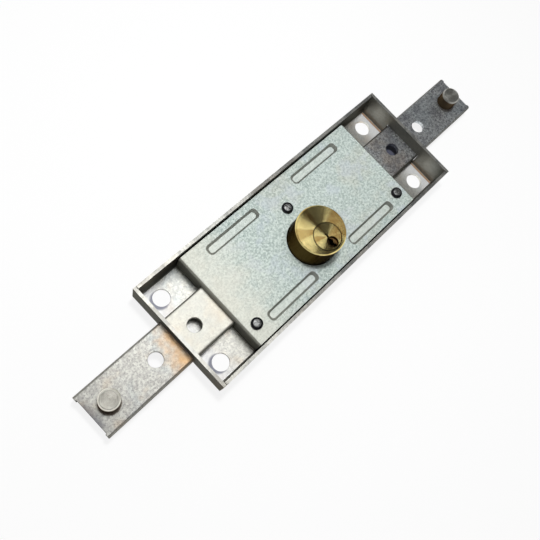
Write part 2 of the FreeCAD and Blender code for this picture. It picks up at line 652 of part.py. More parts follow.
def make_drive_pinion():
    teeth = int(size("pinion_teeth"))
    pitch_radius = size(PITCH_RADIUS)
    pressure = math.radians(size("pressure_angle"))
    base_radius = pitch_radius * math.cos(pressure)
    tip_radius = size(PINION_TIP)
    root_radius = pitch_radius - size("rack_addendum + tooth_clearance")
    half_tooth = math.pi / (2 * teeth) - size("tooth_backlash") / (2 * pitch_radius)

    def flank_point(radius, centre_angle, side):
        lean = involute(math.acos(min(1.0, base_radius / radius)))
        angle = centre_angle + side * (half_tooth + involute(pressure) - lean)
        return Vector(radius * math.cos(angle), radius * math.sin(angle), 0)

    def polar(radius, angle):
        return Vector(radius * math.cos(angle), radius * math.sin(angle), 0)

    edges = []
    middle_radius = (base_radius + tip_radius) / 2
    for tooth in range(teeth):
        centre = math.pi / 2 + tooth * 2 * math.pi / teeth
        foot_angle = half_tooth + involute(pressure)
        start = polar(root_radius, centre - foot_angle)
        end = polar(root_radius, centre + foot_angle)
        rise = [flank_point(radius, centre, -1) for radius in (base_radius, middle_radius, tip_radius)]
        fall = [flank_point(radius, centre, 1) for radius in (tip_radius, middle_radius, base_radius)]
        gap_middle = polar(root_radius, centre + math.pi / teeth)
        following = polar(root_radius, centre + 2 * math.pi / teeth - foot_angle)
        edges += [
            Part.LineSegment(start, rise[0]).toShape(),
            Part.Arc(*rise).toShape(),
            Part.Arc(rise[2], polar(tip_radius, centre), fall[0]).toShape(),
            Part.Arc(*fall).toShape(),
            Part.LineSegment(fall[2], end).toShape(),
            Part.Arc(end, gap_middle, following).toShape(),
        ]
    face = Part.Face(Part.Wire(edges))
    height = size("bar_height - bar_floor_gap")
    gear = face.extrude(Vector(0, 0, height))
    square = size("tail_square + 2 * tail_gap")
    bore = Part.makeBox(square, square, height, Vector(-square / 2, -square / 2, 0))
    pinion = doc.addObject("Part::Feature", "drive_pinion")
    pinion.Label = "drive_pinion"
    pinion.Shape = gear.cut(bore)
    pinion.Placement = Placement(
        Vector(size("cylinder_place_long"), size(PLUG_WIDE), size(BAR_LOW)), Rotation())


# Pin tumblers, set as by the right key

def make_tumblers():
    for number, tip in enumerate(KEY_PIN_TIPS[:int(size("tumbler_count"))], start=1):
        level = f"{CYLINDER_FACE} - tumbler_first - {number - 1} * tumbler_pitch"
        make_key_pin(number, tip, level)
        make_driver_pin(number, level)
        make_pin_spring(number, level)


def make_key_pin(number, tip, level):
    """A pointed pin in the plug, whose head stays just under the plug's surface."""
    radius, head = "tumbler_diameter / 2", "plug_diameter / 2 - shear_gap"
    turned(f"key_pin_{number}", [
        ("0", f"{tip}"), (radius, f"{tip} + {radius}"), (radius, head), ("0", head)],
        "cylinder_place_long", PLUG_WIDE, level, TOWARDS_WALL)


def make_driver_pin(number, level):
    radius = "tumbler_diameter / 2"
    low = f"{SHEAR} + shear_gap"
    turned(f"driver_pin_{number}", [
        ("0", low), (radius, low), (radius, f"{low} + driver_length"), ("0", f"{low} + driver_length")],
        "cylinder_place_long", "cylinder_place_wide", level, TOWARDS_WALL)


def make_pin_spring(number, level):
    """A coil spring between a driver pin and the cover strip, with a square section of flat facets."""
    low = size(f"{SHEAR} + shear_gap + driver_length")
    high = size(STRIP_SEAT)
    wire, steps_per_turn = size("spring_wire"), int(size("spring_steps"))
    steps = steps_per_turn * int(size("spring_turns"))
    radius = size("tumbler_diameter / 2") - wire / 2
    rise = (high - low - wire) / steps
    rings = []
    for step in range(steps + 1):
        angle = step * 2 * math.pi / steps_per_turn
        height = low + step * rise
        rings.append([Vector(r * math.cos(angle), r * math.sin(angle), height + z)
                      for r, z in ((radius - wire / 2, 0), (radius + wire / 2, 0),
                                   (radius + wire / 2, wire), (radius - wire / 2, wire))])
    faces = [flat_face(rings[0]), flat_face(rings[-1])]
    for lower, upper in zip(rings, rings[1:]):
        for side in range(4):
            a, b = lower[side], lower[(side + 1) % 4]
            c, d = upper[(side + 1) % 4], upper[side]
            faces += [flat_face([a, b, c]), flat_face([a, c, d])]
    spring = doc.addObject("Part::Feature", f"pin_spring_{number}")
    spring.Label = f"pin_spring_{number}"
    solid = Part.makeSolid(Part.makeShell(faces))
    if solid.Volume < 0:
        solid.reverse()
    spring.Shape = solid
    spring.Placement = Placement(
        Vector(size("cylinder_place_long"), size("cylinder_place_wide"), size(level)), TOWARDS_WALL)


def make_spring_cover():
    """A brass strip pressed into the side of the cylinder, which closes all the chambers."""
    body = new_body("spring_cover", "cylinder_place_long", "cylinder_place_wide")
    outline = new_sketch(body, "XZ_Plane", f"-({STRIP_SEAT})")
    draw_rectangle(outline, "-strip_width / 2", "strip_width / 2",
                   f"{COVER_TOP} - cover_thickness", STRIP_TOP)
    pad(body, outline, "strip_thickness", flip=True)


def flat_face(points):
    return Part.Face(Part.makePolygon(points + points[:1]))


def check_and_export():
    """Stops at any object that failed, then writes each piece to its own file."""
    doc.recompute()
    for item in doc.Objects:
        if "Invalid" in item.State or "Error" in item.State:
            raise RuntimeError(f"{item.Name} did not recompute: {item.State}")
    pieces = [item for item in doc.Objects
              if item.TypeId == "PartDesign::Body" or item.TypeId == "Part::Feature"]
    os.makedirs("parts", exist_ok=True)
    for piece in pieces:
        if piece.Shape.isNull() or not piece.Shape.isValid() or not piece.Shape.Solids:
            raise RuntimeError(f"{piece.Label} has no valid solid")
        piece.Shape.exportStep(f"parts/{piece.Label}.step")


fill_sheet()
make_case_tray()
make_cover_plate()
make_left_bar()
make_right_bar()
make_drive_pin("left_drive_pin", -1)
make_drive_pin("right_drive_pin", 1)
for place_name, (place_along, place_across) in zip(PLACE_NAMES, PILLAR_PLACES):
    make_pillar(place_name, place_along, place_across)
    make_cover_screw(place_name, place_along, place_across)
make_cylinder_body()
make_cylinder_plug()
make_cylinder_fork()
make_drive_pinion()
make_tumblers()
make_spring_cover()
check_and_export()
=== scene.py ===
import bmesh
import bpy
import json
import math
from mathutils import Euler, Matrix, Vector


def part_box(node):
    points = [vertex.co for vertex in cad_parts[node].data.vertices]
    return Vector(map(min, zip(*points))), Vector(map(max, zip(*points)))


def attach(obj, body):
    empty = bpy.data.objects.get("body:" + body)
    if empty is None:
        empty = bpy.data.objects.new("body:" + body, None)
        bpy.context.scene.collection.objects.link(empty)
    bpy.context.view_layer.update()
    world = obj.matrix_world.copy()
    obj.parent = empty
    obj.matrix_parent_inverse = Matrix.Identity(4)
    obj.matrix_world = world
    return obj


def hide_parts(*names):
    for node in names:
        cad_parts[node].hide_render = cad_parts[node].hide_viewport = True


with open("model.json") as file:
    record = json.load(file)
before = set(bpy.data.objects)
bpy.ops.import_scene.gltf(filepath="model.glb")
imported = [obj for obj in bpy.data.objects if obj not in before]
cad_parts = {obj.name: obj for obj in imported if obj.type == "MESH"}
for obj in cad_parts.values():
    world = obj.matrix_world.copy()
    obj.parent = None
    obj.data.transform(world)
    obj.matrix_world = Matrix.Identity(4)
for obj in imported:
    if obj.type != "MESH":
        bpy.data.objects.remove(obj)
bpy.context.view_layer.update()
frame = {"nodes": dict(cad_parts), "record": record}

# The central lock of a roller shutter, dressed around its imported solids. Lengths are in metres.
# X runs along the bars, Y across the tray, and Z out of the cover, the way the cylinder stands.

MM = 0.001

# Camera, lamps, room and table top
CAMERA_PLACE = Vector((-122.2, -19.4, 257.2)) * MM
CAMERA_TURN = (17.16, -13.12, -44.64)
CAMERA_LENS = 39.84
CAMERA_NEAR = 10 * MM
SENSOR = 36.0
KEY_LAMP_PLACE = Vector((0, 50, 400)) * MM
KEY_LAMP_WIDTH = 50 * MM
KEY_LAMP_POWER = 1.3
SOFT_BOX_PLACE = Vector((150, 170, 900)) * MM
SOFT_BOX_WIDTH = 530 * MM
SOFT_BOX_POWER = 1.35
HORIZON_GLOW = 1.0
SKY_GLOW = 0.06
HORIZON_ENDS = 0.3
SKY_BEGINS = 0.5
FLOOR_SIDE = 6.0
FLOOR_DROP = 0.1 * MM
FLOOR_GLOW = 0.85
FLOOR_GREY = 0.9
FLOOR_ROUGHNESS = 0.9

# Places that the finishes follow. Holes have their place across, along, and their radius, and the
# tray's end folds and the drive pins have their place across.
FIXING_HOLE = (68.5 * MM, 19 * MM, 4 * MM)
BAR_HOLES = [(89.0 * MM, 0, 3.35 * MM), (67.4 * MM, 0, 3.35 * MM)]
FOLD = 76 * MM
PIN_PLACE = 113 * MM

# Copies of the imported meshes
MERGE_GAP = 0.001 * MM
FLAT_ANGLE = math.radians(0.5)
SHARP_ANGLE = math.radians(35)

# Rounding of edges
SHEET_EDGE = 0.2 * MM
RIM_EDGE = 0.25 * MM
GROOVE_EDGE = 0.4 * MM
BAR_EDGE = 0.35 * MM
TURNED_EDGE = 0.12 * MM
FINE_EDGE = 0.08 * MM

# Pressed grooves of the cover
GROOVE_LEVEL_GAP = 0.05 * MM
GROOVE_REACH = 44 * MM
GROOVE_NEAR = 15 * MM
GROOVE_FAR = 23 * MM
GROOVE_DEPTH = 1.4 * MM
GROOVE_SIDE_SLOPE = 0.9 * MM
GROOVE_END_SLOPE = 1.3 * MM

# Cover screws
SCREW_SHANK_RADIUS = 1.5 * MM
SCREW_HEAD_DOME = 0.4
SCREW_DOME_STEPS = 8
# Share of a head's radius that takes the painted grey sheen
SCREW_SHEEN_SHARE = 0.7
SCREW_MOST_TURN = math.radians(80)
SCREW_TURN_SEED = 4
CROSS_WIDTH = 0.8 * MM
CROSS_LENGTH = 3.5 * MM
CROSS_DEPTH = 0.8 * MM
CROSS_TAPER = 0.7

# Turned pins
TURNING_STEPS = 96
PIN_CHAMFER = 0.6 * MM
PIN_RING_COUNT = 6
PIN_RING_DEPTH = 0.05 * MM
PIN_RING_SLOPE_SHARE = 0.3
PIN_RIM_WIDTH = 0.6 * MM
# Depth under a pin's top where its painted side shade begins
PIN_UNSHADED_DEPTH = 0.75 * MM

# Order of the sockets of a colour Mix node, and of the single numbers of a Random Value node
MIX_FACTOR, MIX_FIRST, MIX_SECOND, MIX_RESULT = 0, 6, 7, 2
RANDOM_MOST, RANDOM_VALUE = 3, 1

# Name of the screws' attribute that marks where a grey sheen is painted on them
SHEEN_MARK = "rubbed"


# Shader maths

class Amount:
    """One number that varies over a surface. Sums and products of amounts add Math nodes."""

    def __init__(self, board, socket):
        self.board = board
        self.socket = socket

    def reckon(self, operation, *terms):
        made = self.board.node("ShaderNodeMath", {"operation": operation}, dict(enumerate(terms)))
        return Amount(self.board, made.outputs[0])

    def __add__(self, other):
        return self.reckon("ADD", self, other)

    __radd__ = __add__

    def __sub__(self, other):
        return self.reckon("SUBTRACT", self, other)

    def __rsub__(self, other):
        return self.reckon("SUBTRACT", other, self)

    def __mul__(self, other):
        return self.reckon("MULTIPLY", self, other)

    __rmul__ = __mul__

    def __truediv__(self, other):
        return self.reckon("DIVIDE", self, other)

    def __rtruediv__(self, other):
        return self.reckon("DIVIDE", other, self)

    def __pow__(self, other):
        return self.reckon("POWER", self, other)

    def size(self):
        return self.reckon("ABSOLUTE", self)

    def larger(self, other):
        return self.reckon("MAXIMUM", self, other)

    def ramp(self, low, high):
        """Rises smoothly from 0 at low to 1 at high."""
        made = self.board.node("ShaderNodeMapRange", {"interpolation_type": "SMOOTHSTEP", "clamp": True},
                               {"Value": self, "From Min": low, "From Max": high})
        return Amount(self.board, made.outputs["Result"])


def distance(aside, ahead):
    """How far a point is from a place, from how far it is aside and ahead of it."""
    return (aside * aside + ahead * ahead) ** 0.5


class Board:
    """A node tree under construction. All nodes and links are made here."""

    def __init__(self, tree):
        self.tree = tree
        self.tree.nodes.clear()

    def node(self, kind, settings, inputs):
        """Adds a node: its settings are set first, then the values or links of its sockets."""
        made = self.tree.nodes.new(kind)
        for name, value in settings.items():
            setattr(made, name, value)
        for key, value in inputs.items():
            self.feed(made.inputs[key], value)
        return made

    def feed(self, socket, value):
        if isinstance(value, Amount):
            value = value.socket
        if isinstance(value, bpy.types.NodeSocket):
            self.tree.links.new(value, socket)
        else:
            socket.default_value = value

    def axes(self, vector):
        parts = self.node("ShaderNodeSeparateXYZ", {}, {"Vector": vector})
        return [Amount(self, socket) for socket in parts.outputs]

    def mix(self, factor, first, second):
        made = self.node("ShaderNodeMix", {"data_type": "RGBA"}, {
            MIX_FACTOR: factor, MIX_FIRST: first, MIX_SECOND: second})
        return made.outputs[MIX_RESULT]


class Finish(Board):
    """A material under construction, around one Principled shader."""

    def __init__(self, name, **constants):
        self.material = bpy.data.materials.new(name)
        self.material.use_nodes = True
        super().__init__(self.material.node_tree)
        self.shader = self.node("ShaderNodeBsdfPrincipled", {}, {})
        self.output = self.node("ShaderNodeOutputMaterial", {}, {"Surface": self.shader.outputs["BSDF"]})
        self.wear(**constants)

    def wear(self, **inputs):
        """Feeds the shader's own sockets, and gives the material."""
        for key, value in inputs.items():
            self.feed(self.shader.inputs[key.replace("_", " ")], value)
        return self.material

    def place(self, centre=(0, 0, 0)):
        """Object coordinates in millimetres from a centre given in metres."""
        coordinates = self.node("ShaderNodeTexCoord", {}, {})
        mapping = self.node("ShaderNodeMapping", {"vector_type": "POINT"}, {
            "Vector": coordinates.outputs["Object"],
            "Location": [-value / MM for value in centre], "Scale": (1 / MM,) * 3})
        return mapping.outputs["Vector"]

    def upward(self):
        """How far a surface faces up: 1 on a level top, 0 on a wall and below."""
        coordinates = self.node("ShaderNodeTexCoord", {}, {})
        return self.axes(coordinates.outputs["Normal"])[2]

    def noise(self, vector, scale, detail, roughness):
        """Noise about 0.5, where scale is the number of features to a millimetre."""
        made = self.node("ShaderNodeTexNoise", {"noise_dimensions": "3D"}, {
            "Vector": vector, "Scale": scale, "Detail": detail, "Roughness": roughness})
        return Amount(self, made.outputs[0])

    def line_noise(self, amount, scale, detail):
        """Noise that varies along one measure only, such as the radius of a turned face."""
        made = self.node("ShaderNodeTexNoise", {"noise_dimensions": "1D"}, {
            "W": amount, "Scale": scale, "Detail": detail})
        return Amount(self, made.outputs[0])

    def bump(self, height, strength, depth):
        made = self.node("ShaderNodeBump", {}, {"Height": height, "Strength": strength, "Distance": depth})
        return made.outputs["Normal"]


def grey(value):
    return (value, value, value, 1.0)


def colour(red, green, blue):
    return (red, green, blue, 1.0)


# Finishes of the plated sheet. Distances in them are in millimetres.

WARM_STAIN = colour(0.80, 0.56, 0.32)
COOL_STAIN = colour(0.50, 0.62, 0.68)
RIM_PALE = colour(0.86, 0.85, 0.78)
RIM_DARK = colour(0.22, 0.23, 0.23)
BLUE_SHADE_PAINT = colour(0.08, 0.09, 0.16)
CREAM_SHEEN_PAINT = colour(0.97, 0.94, 0.82)
BLUISH = colour(0.66, 0.73, 0.82)
PALE_FLOOR = colour(0.94, 0.99, 0.92)
ORANGE = colour(0.92, 0.52, 0.18)
DARK_TONE = colour(0.12, 0.12, 0.17)
PIN_SHADOW_PAINT = colour(0.09, 0.055, 0.03)
FOLD_HIGHLIGHT_PAINT = colour(0.95, 0.96, 0.98)
RUST = colour(0.42, 0.20, 0.05)
# Painted shade for walls: its dark grey, and the share of it that is laid
WALL_SHADE_PAINT = colour(0.15, 0.145, 0.12)

WALL_SHADE_SHARE = 0.8
METAL_TINT = grey(0.1)
COOL_STAIN_PLACE = (0.3, 0.2, 0)

# How far up a surface faces where its painted wall shade is full and where it stops
BLUNT_TURN = (0.6, 0.92)
CRISP_TURN = (0.85, 0.98)


class Zinc(Finish):
    """Plated sheet: a mottled grain with dark specks and wide stains, and painted shade on walls but not
    round holes.
    """

    def __init__(self, name, pale, dark, grain_share, speck_share, stain_share, roughness, metal,
                 edge_turn=BLUNT_TURN, holes=()):
        super().__init__(name, Metallic=metal, Specular_Tint=METAL_TINT)
        self.metal = metal
        self.spot = self.place()
        self.across, self.along, self.height = self.axes(self.spot)
        grain = self.noise(self.spot, 0.9, 4.0, 0.7)
        specks = self.noise(self.spot, 1.5, 2.0, 0.7).ramp(0.5, 0.66)
        warm = self.noise(self.spot, 0.05, 3.0, 0.6).ramp(0.5, 0.68)
        cool = self.noise(self.place(COOL_STAIN_PLACE), 0.04, 3.0, 0.6).ramp(0.48, 0.66)
        self.surface = self.mix(grain.ramp(0.4, 0.6) * grain_share + specks * speck_share, pale, dark)
        self.stain(cool * stain_share, COOL_STAIN)
        self.stain(warm * stain_share, WARM_STAIN)
        # Painted shade: faces that turn sideways or down are laid towards a dark grey, except round the
        # holes.
        self.painted_wall_shade = (1 - self.upward().ramp(*edge_turn)) * WALL_SHADE_SHARE
        for x, y, radius in holes:
            off_centre = distance(self.across.size() - x / MM, self.along.size() - y / MM)
            self.painted_wall_shade = self.painted_wall_shade * off_centre.ramp(radius / MM + 0.15, radius / MM + 0.4)
        self.wear(
            Roughness=grain * 0.3 + (roughness - 0.15),
            Normal=self.bump(self.noise(self.spot, 1.6, 3.0, 0.6), 0.5, 0.04 * MM))

    def stain(self, share, tone):
        """Lays a tone over what the surface has so far."""
        self.surface = self.mix(share, self.surface, tone)

    def finished(self, **inputs):
        """Lays the painted wall shade over everything, and gives the material."""
        return self.wear(Base_Color=self.mix(self.painted_wall_shade, self.surface, WALL_SHADE_PAINT), **inputs)


def tray_finish():
    """The rim is streaky and darker to the right; the floor has rust and a painted highlight along the end
    folds.
    """
    tray = Zinc("tray_zinc", colour(0.94, 0.93, 0.85), colour(0.44, 0.44, 0.42), grain_share=0.35,
                speck_share=0.25, stain_share=0.4, roughness=0.34, metal=0.88, edge_turn=CRISP_TURN,
                holes=[FIXING_HOLE])
    top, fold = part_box("case_tray")[1].z / MM, FOLD / MM
    level = tray.upward().ramp(0.9, 0.97)
    rim = tray.height.ramp(top - 0.6, top - 0.2) * level
    streaks = tray.noise(tray.spot, 0.12, 4.0, 0.7).ramp(0.42, 0.6)
    # The rim is streaky and darker to the right.
    rim_streaks_darker_right = (streaks + tray.across.ramp(-60, 10)) * 0.5
    tray.stain(rim * 0.8, tray.mix(rim_streaks_darker_right, RIM_PALE, RIM_DARK))
    foot = level * (1 - rim)
    reach = tray.across.size()
    # Painted highlight: a near-white band on the floor along each end fold.
    painted_fold_highlight = foot * reach.ramp(fold - 15, fold - 2.4)
    rust = foot * reach.ramp(fold - 1.9, fold - 1.4)
    # Painted shade: the floor under the right bar, seen through its holes, is laid dark blue.
    painted_shade_under_bar = foot * tray.across.ramp(50, 54) * (1 - tray.along.size().ramp(9.0, 10.5))
    tray.stain(painted_fold_highlight * 0.7, FOLD_HIGHLIGHT_PAINT)
    tray.stain(rust * 0.8, RUST)
    tray.stain(painted_shade_under_bar * 0.9, BLUE_SHADE_PAINT)
    # Painted shade: a dark blue crescent on the floor at the left side of each left fixing hole.
    x, y = FIXING_HOLE[0] / MM, FIXING_HOLE[1] / MM
    painted_hole_shade = 1 - distance(tray.across + (x + 1.3), tray.along.size() - (y - 0.3)).ramp(3.8, 5.0)
    tray.stain(painted_hole_shade * foot * 0.75, BLUE_SHADE_PAINT)
    # The painted fold highlight also makes the floor less metallic there.
    return tray.finished(Metallic=tray.metal - painted_fold_highlight * 0.5)


def cover_finish():
    """The cover has a painted cream sheen towards its left end, and the floors of its grooves are paler.
    """
    cover = Zinc("cover_zinc", colour(0.78, 0.87, 0.82), colour(0.30, 0.39, 0.36), grain_share=0.55,
                 speck_share=0.45, stain_share=0.1, roughness=0.5, metal=0.4, edge_turn=CRISP_TURN)
    patches = cover.noise(cover.spot, 0.09, 3.0, 0.6)
    # Painted highlight: pale cream patches laid towards the left end.
    painted_left_sheen = (patches * 30 - cover.across).ramp(38, 66)
    cover.stain(painted_left_sheen * 0.6, CREAM_SHEEN_PAINT)
    cover.stain(patches.ramp(0.5, 0.65) * (1 - painted_left_sheen) * 0.35, BLUISH)
    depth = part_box("cover_plate")[1].z / MM - cover.height
    sunk = cover.upward().ramp(0.97, 0.99) * depth.ramp(1.0, 1.3)
    cover.stain(sunk * 0.4, PALE_FLOOR)
    return cover.finished()


def painted_pin_shadow(bar, side):
    """A painted brown shadow round the foot of a drive pin, reaching further to its left and near side."""
    off_centre = distance(bar.across - (side * PIN_PLACE / MM - 0.6), bar.along + 0.7)
    return 1 - off_centre.ramp(4.5, 5.1)


def left_bar_finish():
    """Inside the tray the left bar has a painted pale cream highlight, and it is rusty where it leaves the
    tray.
    """
    bar = Zinc("left_bar_zinc", colour(0.86, 0.86, 0.79), colour(0.30, 0.27, 0.28), grain_share=0.35,
               speck_share=0.35, stain_share=0.4, roughness=0.36, metal=0.8, edge_turn=CRISP_TURN,
               holes=BAR_HOLES)
    past_fold = bar.across + FOLD / MM
    inside = past_fold.ramp(-3, 1)
    # Painted highlight: inside the tray the bar is laid pale cream.
    bar.stain(inside * 0.6, CREAM_SHEEN_PAINT)
    patches = bar.noise(bar.spot, 0.1, 3.0, 0.6)
    rusty = (past_fold + patches * 40 - bar.along * 0.5).ramp(6, 24) * (1 - inside)
    bar.stain(rusty * 0.7, ORANGE)
    # Painted shadow round the foot of the left drive pin.
    bar.stain(painted_pin_shadow(bar, -1) * 0.85, PIN_SHADOW_PAINT)
    # The end of the tip is laid darker.
    tip = (0 - bar.across).ramp(118.5, 121.8) * (1 - bar.along.size().ramp(4, 9))
    bar.stain(tip * 0.6, DARK_TONE)
    # The painted highlight inside the tray also makes the bar less metallic.
    return bar.finished(Metallic=bar.metal - inside * 0.25)


def right_bar_finish():
    """The right bar is patched and mottled darker than the left bar: partly its own stains, partly painted
    shade.
    """
    # The darker mix of these colours is partly painted shade.
    bar = Zinc("right_bar_zinc", colour(0.92, 0.95, 0.95), colour(0.10, 0.10, 0.12), grain_share=0.55,
               speck_share=0.45, stain_share=0.25, roughness=0.36, metal=0.88, edge_turn=CRISP_TURN,
               holes=BAR_HOLES)
    patches = bar.noise(bar.spot, 0.16, 3.0, 0.6).ramp(0.45, 0.62)
    bar.stain(patches * 0.35, DARK_TONE)
    # Painted shadow round the foot of the right drive pin.
    bar.stain(painted_pin_shadow(bar, 1) * 0.6, PIN_SHADOW_PAINT)
    return bar.finished()


def fitting_finish():
    return Zinc("fitting_zinc", colour(0.60, 0.60, 0.58), colour(0.40, 0.40, 0.40), grain_share=0.4,
                speck_share=0.3, stain_share=0.2, roughness=0.4, metal=0.88).finished()


def hard_steel_finish():
    return Zinc("spring_steel", colour(0.46, 0.46, 0.47), colour(0.28, 0.28, 0.29), grain_share=0.3,
                speck_share=0.2, stain_share=0.0, roughness=0.32, metal=1.0).finished()


# Finishes of turned metal and of the screws

BRASS = colour(1.0, 0.86, 0.38)
BRASS_DARK = colour(0.48, 0.30, 0.09)
# Painted shade tones for the plug's keyway and recess and for the cylinder's side
PLUG_SHADE_TONE = colour(0.26, 0.155, 0.06)
CYLINDER_SHADE_TONE = colour(0.16, 0.12, 0.06)
EDGE_GRIME = colour(0.05, 0.04, 0.02)
# The right pin's colours are darker than the left pin's: painted shade.
PIN_COLOURS = {"left": (colour(1.0, 0.98, 0.88), colour(0.62, 0.58, 0.48)),
               "right": (colour(0.55, 0.55, 0.51), colour(0.28, 0.26, 0.22))}
# Painted shade tone for the pins' sides
PIN_SHADE_TONE = colour(0.14, 0.10, 0.06)
SCREW_BLACK = colour(0.035, 0.035, 0.04)
SCREW_GREY = colour(0.55, 0.56, 0.55)

BRASS_ROUGHNESS = 0.19
INNER_BRASS_ROUGHNESS = 0.35
PIN_ROUGHNESS = 0.42
BRASS_RING_SCALE = 2.2
PIN_RING_SCALE = 3.0
QUARTER_TURN = 0.25


def turned_finish(name, centre, pale, dark, shade_tone, face, roughness, ring_scale, edge=None,
                  brushed=0.94, reflection_wedge_share=0.6):
    """A face turned on a lathe: rings round the axis, and painted shade where the part lies lower than its
    face.

    The rings are brushed by a share, and the face has darker sectors, a painted reflection, by
    another. A radius in edge gives its rim grime.
    """
    finish = Finish(name, Metallic=1.0, Anisotropic=brushed, Anisotropic_Rotation=QUARTER_TURN,
                    Specular_Tint=METAL_TINT)
    place = finish.place((centre.x, centre.y, 0))
    across, along, height = finish.axes(place)
    radius = distance(across, along)
    rings = finish.line_noise(radius, ring_scale, 3.0)
    stains = finish.noise(place, 0.2, 4.0, 0.7).ramp(0.42, 0.62)
    round_axis = finish.node("ShaderNodeCombineXYZ", {}, {"X": across / radius, "Y": along / radius})
    # Painted reflection: darker sectors round the axis of the turned face.
    reflection_wedges = finish.noise(round_axis.outputs["Vector"], 1.6, 2.0, 0.5).ramp(0.42, 0.58)
    surface = finish.mix(rings.ramp(0.35, 0.65) * 0.2 + stains * 0.25 + reflection_wedges * reflection_wedge_share, pale, dark)
    if edge is not None:
        surface = finish.mix(radius.ramp(edge / MM - 0.5, edge / MM - 0.25), surface, EDGE_GRIME)
    # Painted shade: where the part lies lower than its face it is laid a darker tone.
    below = (face / MM - height).ramp(0.35, 0.9)
    return finish.wear(
        Base_Color=finish.mix(below, surface, shade_tone),
        Roughness=rings * 0.16 + (roughness - 0.08),
        Normal=finish.bump(rings, 0.3, 0.02 * MM))


def black_screw_finish():
    """Black oxide, with a painted grey sheen on the top of the head and in the driver's recess."""
    finish = Finish("black_oxide", Metallic=1.0)
    place = finish.place()
    marks = finish.node("ShaderNodeAttribute", {"attribute_name": SHEEN_MARK}, {})
    # Painted sheen: the marked top of the head is laid grey.
    rubbed = Amount(finish, marks.outputs["Fac"]) * (0.45 + finish.noise(place, 1.8, 3.0, 0.6) * 0.9)
    return finish.wear(
        Base_Color=finish.mix(rubbed, SCREW_BLACK, SCREW_GREY),
        Roughness=0.45 - rubbed * 0.15,
        Normal=finish.bump(finish.noise(place, 3.0, 2.0, 0.5), 0.3, 0.03 * MM))


# Meshes

def link(name, mesh):
    piece = bpy.data.objects.new(name, mesh)
    bpy.context.scene.collection.objects.link(piece)
    return piece


def closed_piece(shape, name):
    """A piece from a closed shape, with its faces pointing outwards."""
    bmesh.ops.recalc_face_normals(shape, faces=shape.faces)
    mesh = bpy.data.meshes.new(name)
    shape.to_mesh(mesh)
    shape.free()
    return link(name, mesh)


def merged_copy(node, name):
    """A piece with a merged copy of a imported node's mesh, without the lines across its flat faces."""
    mesh = frame["nodes"][node].data.copy()
    mesh.name = name
    mesh.materials.clear()
    for attribute in [item for item in mesh.attributes if item.name == "custom_normal"]:
        mesh.attributes.remove(attribute)
    shape = bmesh.new()
    shape.from_mesh(mesh)
    bmesh.ops.remove_doubles(shape, verts=shape.verts, dist=MERGE_GAP)
    bmesh.ops.dissolve_limit(shape, angle_limit=FLAT_ANGLE, verts=shape.verts, edges=shape.edges)
    shape.to_mesh(mesh)
    shape.free()
    return link(name, mesh)


def soften(piece, width, segments=3, wide=0, is_wide=None):
    """Rounds the sharp edges of a piece, some wider than others, and keeps its flat faces flat."""
    shape = bmesh.new()
    shape.from_mesh(piece.data)
    weights = shape.edges.layers.float.new("bevel_weight_edge")
    largest = max(width, wide)
    for edge in shape.edges:
        if len(edge.link_faces) == 2 and edge.calc_face_angle() > SHARP_ANGLE:
            middle = (edge.verts[0].co + edge.verts[1].co) / 2
            rounding = wide if is_wide and is_wide(middle) else width
            edge[weights] = rounding / largest
    shape.to_mesh(piece.data)
    shape.free()
    edges = piece.modifiers.new("edges", "BEVEL")
    edges.width = largest
    edges.segments = segments
    edges.limit_method = "WEIGHT"
    edges.miter_outer = "MITER_ARC"
    for face in piece.data.polygons:
        face.use_smooth = True
    shading = piece.modifiers.new("shading", "WEIGHTED_NORMAL")
    shading.keep_sharp = True
    settle(piece)


def settle(piece):
    """Turns a piece and its modifiers into one plain mesh."""
    evaluated = piece.evaluated_get(bpy.context.evaluated_depsgraph_get())
    mesh = bpy.data.meshes.new_from_object(evaluated)
    mesh.name = piece.name
    piece.modifiers.clear()
    piece.data = mesh


def turned(name, profile, centre):
    """A closed turned piece on an upright axis. The profile runs from the axis to the axis."""
    shape = bmesh.new()
    angles = [step * 2 * math.pi / TURNING_STEPS for step in range(TURNING_STEPS)]
    rings = []
    for radius, height in profile:
        if radius == 0:
            rings.append([shape.verts.new((centre.x, centre.y, height))] * TURNING_STEPS)
        else:
            rings.append([shape.verts.new((centre.x + radius * math.cos(angle),
                                           centre.y + radius * math.sin(angle), height))
                          for angle in angles])
    for lower, upper in zip(rings, rings[1:]):
        for step in range(TURNING_STEPS):
            following = (step + 1) % TURNING_STEPS
            corners = (lower[step], lower[following], upper[following], upper[step])
            shape.faces.new(dict.fromkeys(corners))
    return closed_piece(shape, name)


def dress(piece, body, slot, material, *nodes):
    """Gives a finished piece its material and the body that it rides on, and hides the nodes that it
    stands for.
    """
    piece.data.materials.clear()
    piece.data.materials.append(material)
    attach(piece, body)
    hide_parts(*nodes)


def middle_of(node):
    low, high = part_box(node)
    return (low + high) / 2


def radius_of(node):
    low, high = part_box(node)
    return (high.x - low.x) / 2


# Tray, cover and bars

def make_tray():
    tray = merged_copy("case_tray", "folded_tray")
    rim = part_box("case_tray")[1].z - RIM_EDGE
    soften(tray, SHEET_EDGE, wide=RIM_EDGE, is_wide=lambda point: point.z > rim)
    dress(tray, "case", "zinc_sheet", tray_finish(), "case_tray")


def make_cover():
    cover = merged_copy("cover_plate", "pressed_cover")
    slope_grooves(cover)
    soften(cover, SHEET_EDGE, segments=4, wide=GROOVE_EDGE, is_wide=on_groove_mouth)
    dress(cover, "case", "zinc_sheet", cover_finish(), "cover_plate")


